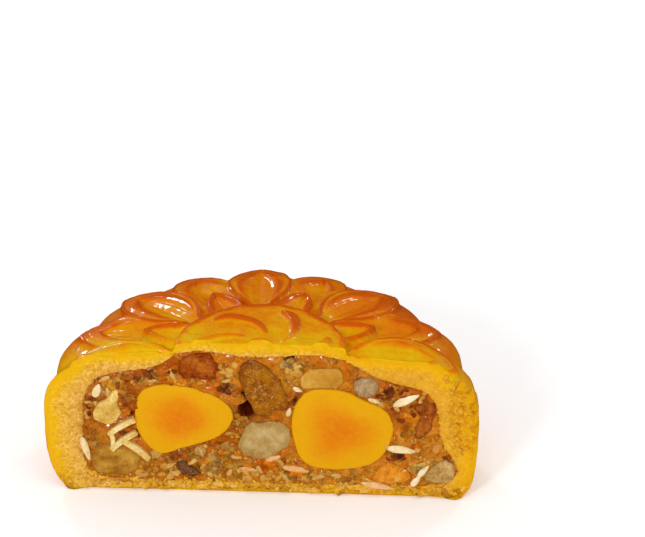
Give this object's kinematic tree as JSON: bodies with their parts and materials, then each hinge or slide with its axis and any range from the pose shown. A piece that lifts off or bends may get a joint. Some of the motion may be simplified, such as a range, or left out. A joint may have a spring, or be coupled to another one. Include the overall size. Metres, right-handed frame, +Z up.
{
  "type": "half mooncake",
  "caption": "Half of a round baked mooncake: petal-moulded glazed crust, and a cut face that shows the nut filling and the salted egg yolks.",
  "frame": {"origin": "middle of the underside's bounding box, on the surface the half cake stands on", "axes": "+Z up; +X along the cut face, to the right as one looks at it; +Y from the cut face into the cake, so the cut face looks along -Y"},
  "size_m": [0.0862, 0.045, 0.0347],
  "materials": {
    "baked_crust": "glossy egg glaze on a moulded top, crumbly at the cut",
    "nut_filling": "sticky, glossy nut and seed paste",
    "salted_yolk": "waxy",
    "candied_melon": "translucent, sugary",
    "pale_candied_melon": "clear, translucent",
    "cured_sausage": "moist, fine grained",
    "sugared_fat": "translucent, grainy",
    "nut": "waxy",
    "candied_fruit": "glossy, translucent",
    "candied_peel": "glossy, translucent",
    "raisin": "wrinkled"
  },
  "bodies": {
    "root": {"crust": "baked_crust", "filling": "nut_filling", "yolk_left": "salted_yolk", "yolk_right": "salted_yolk", "candied_melon_upper": "candied_melon", "candied_melon_lower": "pale_candied_melon", "sausage_upper_left": "cured_sausage", "sugared_fat_left": "sugared_fat", "sugared_fat_upper_right": "sugared_fat", "sugared_fat_lower_right": "sugared_fat", "walnut_left": "nut", "cashew_upper_right": "nut", "candied_date_right": "candied_fruit", "candied_peel_lower_right": "candied_peel", "raisin_lower_left": "raisin"}
  },
  "joints": []
}
